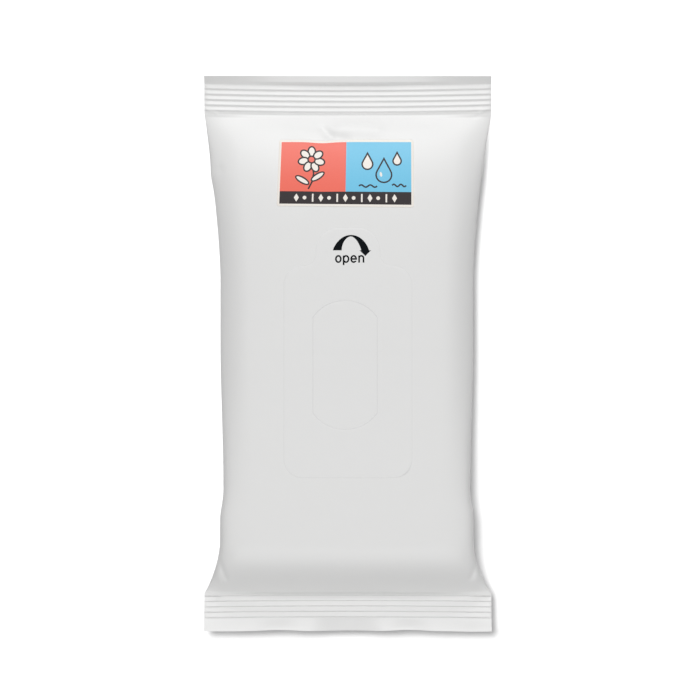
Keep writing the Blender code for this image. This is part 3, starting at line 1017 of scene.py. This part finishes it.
def build_floor():
    """A pale floor that glows towards the camera, so that it reads white and keeps the shadow, and that
    throws less light back at the object."""
    mesh = bpy.data.meshes.new("floor")
    reach = FLOOR_SIZE / 2
    corners = [(x, y, 0) for x, y in rectangle(-reach, -reach, reach, reach)]
    mesh.from_pydata(corners, [], [(0, 1, 2, 3)])
    floor = bpy.data.objects.new("floor", mesh)
    bpy.context.scene.collection.objects.link(floor)
    material = bpy.data.materials.new("floor")
    material.use_nodes = True
    nodes, links = material.node_tree.nodes, material.node_tree.links
    nodes.clear()
    surface = nodes.new("ShaderNodeBsdfDiffuse")
    surface.inputs["Color"].default_value = (*FLOOR_COLOUR, 1)
    bounce = nodes.new("ShaderNodeBsdfDiffuse")
    bounce.inputs["Color"].default_value = (*FLOOR_BOUNCE, 1)
    glow = nodes.new("ShaderNodeEmission")
    glow.inputs["Strength"].default_value = FLOOR_GLOW
    both = nodes.new("ShaderNodeAddShader")
    links.new(surface.outputs["BSDF"], both.inputs[0])
    links.new(glow.outputs["Emission"], both.inputs[1])
    choice = nodes.new("ShaderNodeMixShader")
    links.new(seen_directly(nodes, links), choice.inputs["Fac"])
    links.new(bounce.outputs["BSDF"], choice.inputs[1])
    links.new(both.outputs["Shader"], choice.inputs[2])
    output = nodes.new("ShaderNodeOutputMaterial")
    links.new(choice.outputs["Shader"], output.inputs["Surface"])
    mesh.materials.append(material)
    return floor


def build_world():
    """White where it is seen, and dimmer as a light."""
    world = bpy.data.worlds.new("studio")
    bpy.context.scene.world = world
    world.use_nodes = True
    nodes, links = world.node_tree.nodes, world.node_tree.links
    nodes.clear()
    dim = nodes.new("ShaderNodeBackground")
    dim.inputs["Color"].default_value = (1, 1, 1, 1)
    dim.inputs["Strength"].default_value = AMBIENT
    white = nodes.new("ShaderNodeBackground")
    white.inputs["Color"].default_value = (1, 1, 1, 1)
    white.inputs["Strength"].default_value = 1
    choice = nodes.new("ShaderNodeMixShader")
    links.new(seen_directly(nodes, links), choice.inputs["Fac"])
    links.new(dim.outputs["Background"], choice.inputs[1])
    links.new(white.outputs["Background"], choice.inputs[2])
    output = nodes.new("ShaderNodeOutputWorld")
    links.new(choice.outputs["Shader"], output.inputs["Surface"])


def build_lamp(name, azimuth, tilt, distance, width, height, radiance):
    """A softbox aimed at the middle of the pack."""
    data = bpy.data.lights.new(name, "AREA")
    data.shape = "RECTANGLE"
    data.size = width
    data.size_y = height
    data.energy = radiance * math.pi * width * height
    lamp = bpy.data.objects.new(name, data)
    azimuth, tilt = math.radians(azimuth), math.radians(tilt)
    towards = Vector(
        (math.sin(tilt) * math.cos(azimuth), math.sin(tilt) * math.sin(azimuth), math.cos(tilt))
    )
    lamp.location = towards * distance
    lamp.rotation_euler = towards.to_track_quat("Z", "Y").to_euler()
    lamp.visible_camera = False
    bpy.context.scene.collection.objects.link(lamp)
    return lamp


def build_spot(name, place, aim, reach, power):
    """A soft-edged spot that lights a circle of the given reach around its aim."""
    data = bpy.data.lights.new(name, "SPOT")
    data.energy = power
    towards = Vector(place) - Vector(aim)
    data.spot_size = 2 * math.atan(reach / towards.length)
    data.spot_blend = 1
    data.shadow_soft_size = SPOT_SOFTNESS
    lamp = bpy.data.objects.new(name, data)
    lamp.location = place
    lamp.rotation_euler = towards.to_track_quat("Z", "Y").to_euler()
    bpy.context.scene.collection.objects.link(lamp)
    return lamp


def light_only(lamps, floor, state):
    """Lets the lamps light the floor alone (INCLUDE), or all but the floor (EXCLUDE)."""
    linked = bpy.data.collections.new("floor_" + state.lower())
    linked.objects.link(floor)
    linked.collection_objects[0].light_linking.link_state = state
    for lamp in lamps:
        lamp.light_linking.receiver_collection = linked


def build_camera():
    """Looks straight down, from where VIEW_WIDTH spans the picture at VIEW_LEVEL."""
    data = bpy.data.cameras.new("camera")
    data.lens = LENS
    data.sensor_width = SENSOR
    camera = bpy.data.objects.new("camera", data)
    camera.location = (*VIEW_CENTRE, VIEW_LEVEL + VIEW_WIDTH * LENS / SENSOR)
    bpy.context.scene.collection.objects.link(camera)
    bpy.context.scene.camera = camera


def build_pieces():
    """Each piece, listed with a slot name that nothing reads, is fastened to the root body, and the nodes
    that it replaces are hidden.
    """
    looks = {name: plain_material(name, *look) for name, look in MATERIALS.items()}
    film = looks["white_film"]
    made = [
        (build_film(film), "white_film", ("film_pack",)),
        (build_fin(film), "white_film", ("film_pack",)),
        (build_panel(film), "white_film", ("opening_panel",)),
        (build_label([looks[name] for name in LABEL_PAINTS]), "white_label", ("reseal_label",)),
        (build_sticker([looks[name] for name in STICKER_PAINTS]), "sticker", ("front_sticker",)),
    ]
    for piece, slot, nodes in made:
        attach(piece, "root")
        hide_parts(*nodes)


bpy.context.scene.view_settings.view_transform = "Standard"
build_camera()
build_pieces()
build_world()
floor = build_floor()
light_only([build_lamp(*FLOOR_LAMP), build_spot(*FLOOR_SPOT)], floor, "INCLUDE")
light_only([build_lamp(*lamp) for lamp in LAMPS], floor, "EXCLUDE")
